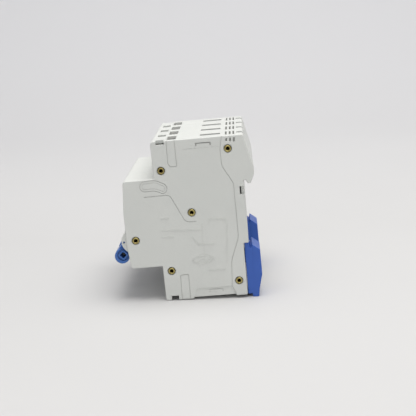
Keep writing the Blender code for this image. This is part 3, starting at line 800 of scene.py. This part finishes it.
def test_button():
    (x0, x1), (y0, y1), _ = (span_mm("test_button", axis) for axis in range(3))
    centre = (x0 + x1) / 2
    low, high = 7.0, 13.0
    obj = mesh_from("test_button_cap", lambda bm: add_slab(
        bm, rounded([(y0, low, 0.6), (y1, low, 0.2), (y1, high, 0.2), (y0, high, 0.6)], steps=4),
        centre - 3.2, centre + 3.2, 0.5, 0.5))
    carve(obj, lambda bm: add_box(bm, (x0, x1), (y0 + 3.8, y0 + 5.0), (low - 0.8, high + 0.8)), "UNION")

    def dish(bm):
        add_turned(bm, [(y0 - 0.5, 2.2), (y0, 2.1), (y0 + 0.25, 1.5), (y0 + 0.32, 0.01)],
                   (centre, 0, (low + high) / 2), "Y", 32)
    carve(obj, dish)
    finish_piece(obj, BLACK, "test_button", "black", "test_button", smooth=35)


# ---- Pieces that keep their CAD shape ----------------------------------------------------

def finish_inner_nodes():
    """Procedural finishes for the CAD nodes that stay as they are."""
    finishes = {"copper": COPPER, "grey_fibre": FIBRE, "winding_enamel": ENAMEL, "black": BLACK,
                "zinc_steel": STEEL, "brass": BRASS}
    slots = {part["node"]: part["material_slot"] for part in frame["record"]["subparts"]}
    for node, obj in frame["nodes"].items():
        finish = finishes.get(slots.get(node))
        if finish is not None and not obj.hide_render:
            for slot_entry in obj.material_slots:
                slot_entry.material = finish


# ---- Stage -------------------------------------------------------------------------------

LEAN = math.radians(-2.25)       # the clips' tabs lift the back, so the floor falls away behind
FLOOR_Z = BOTTOM - 0.02
FLOOR_REACH, SWEEP_START, SWEEP_R, WALL_HEIGHT = 4.0, -0.55, 0.9, 3.0


def stage():
    """Pale sweep that touches the housing's front edge and the tabs of the clips. Its curve and wall are
    painted paler, as painted light.
    """
    profile = [(FLOOR_REACH, 0.0), (SWEEP_START, 0.0)]
    for i in range(1, 25):
        angle = math.pi / 2 * i / 24
        profile.append((SWEEP_START - SWEEP_R * math.sin(angle), SWEEP_R * (1 - math.cos(angle))))
    profile.append((SWEEP_START - SWEEP_R, WALL_HEIGHT))

    def sheet(bm):
        rows = [[bm.verts.new((x, y, z)) for x, z in profile] for y in (-FLOOR_REACH, FLOOR_REACH)]
        for i in range(len(profile) - 1):
            bm.faces.new((rows[0][i], rows[1][i], rows[1][i + 1], rows[0][i + 1]))
    floor = mesh_from("floor", sheet)
    floor.data.shade_smooth()
    floor.location = (0, (SHELF + 1.3) * MM, FLOOR_Z * MM)
    floor.rotation_euler = (LEAN, 0, 0)
    s = Surface("floor_paint", (0.590, 0.587, 0.582), 0.7, specular=0.2)
    s.tint((0.566, 0.564, 0.559), s.ramp(s.noise(3.0, 3.0), 0.4, 0.7, 0.0, 0.6))
    # Painted light: the sweep and back wall turn paler away from the floor, standing in for light falling on
    # them.
    along = s.nodes.new("ShaderNodeSeparateXYZ")
    s.links.new(s.coords, along.inputs[0])
    s.tint((0.85, 0.85, 0.865), s.ramp(along.outputs["X"], -0.1, -1.2))
    floor.data.materials.append(s.done())


SKY_LOW, SKY_HIGH = 0.12, 0.74
OVERHEAD_POWER, FILL_POWER = 10.2, 3.8


def lighting():
    """A large soft light overhead, a fill from the side, and a surround that is brightest at the top."""
    world = bpy.data.worlds.new("studio")
    bpy.context.scene.world = world
    world.use_nodes = True
    nodes, links = world.node_tree.nodes, world.node_tree.links
    up = nodes.new("ShaderNodeSeparateXYZ")
    links.new(nodes.new("ShaderNodeTexCoord").outputs["Generated"], up.inputs[0])
    ramp = nodes.new("ShaderNodeMapRange")
    for key, number in (("From Min", 0.0), ("From Max", 0.8), ("To Min", SKY_LOW), ("To Max", SKY_HIGH)):
        ramp.inputs[key].default_value = number
    links.new(up.outputs["Z"], ramp.inputs["Value"])
    background = nodes["Background"]
    background.inputs["Color"].default_value = (0.985, 0.985, 1.0, 1.0)
    links.new(ramp.outputs["Result"], background.inputs["Strength"])
    add_light("overhead", (0.1, 0.15, 1.0), (0.0, 0.0, 0.0), 0.8, OVERHEAD_POWER, (1.0, 0.985, 0.965))
    add_light("fill", (1.6, 0.1, 0.5), (0.0, 0.0, 0.0), 1.0, FILL_POWER, (0.98, 0.99, 1.0))


def add_light(name, place, target, size, power, colour):
    data = bpy.data.lights.new(name, "AREA")
    data.size = size
    data.energy = power
    data.color = colour
    light = bpy.data.objects.new(name, data)
    light.location = place
    aim = Vector(target) - Vector(place)
    light.rotation_euler = aim.to_track_quat("-Z", "Y").to_euler()
    bpy.context.scene.collection.objects.link(light)


CAMERA_PLACE = (0.4796, 0.0020, 0.1047)
CAMERA_AZIMUTH, CAMERA_ELEVATION, CAMERA_ROLL = 92.68, 12.56, 5.27
CAMERA_LENS = 79.2


def camera():
    data = bpy.data.cameras.new("camera")
    data.lens = CAMERA_LENS
    data.sensor_width = 36.0
    data.clip_start = 0.01
    azimuth, elevation = math.radians(CAMERA_AZIMUTH), math.radians(CAMERA_ELEVATION)
    forward = Vector((-math.sin(azimuth) * math.cos(elevation), math.cos(azimuth) * math.cos(elevation),
                      -math.sin(elevation)))
    right = forward.cross(Vector((0, 0, 1))).normalized()
    right = Matrix.Rotation(math.radians(CAMERA_ROLL), 3, forward) @ right
    up = right.cross(forward)
    obj = bpy.data.objects.new("camera", data)
    obj.matrix_world = Matrix((
        (right.x, up.x, -forward.x, CAMERA_PLACE[0]), (right.y, up.y, -forward.y, CAMERA_PLACE[1]),
        (right.z, up.z, -forward.z, CAMERA_PLACE[2]), (0, 0, 0, 1)))
    bpy.context.scene.collection.objects.link(obj)
    bpy.context.scene.camera = obj
    bpy.context.scene.view_settings.view_transform = "Standard"


# ---- Build -------------------------------------------------------------------------------

camera()
for pole in range(1, POLES + 1):
    half_shell(pole, 1)
    half_shell(pole, -1)
    toggle(pole)
    terminal("line", pole, 1)
    terminal("load", pole, -1)
for index, rivet_place in enumerate(RIVETS, 1):
    rivet(index, rivet_place)
rail_clip("right")
rail_clip("left")
link_bar()
test_button()
finish_inner_nodes()
stage()
lighting()
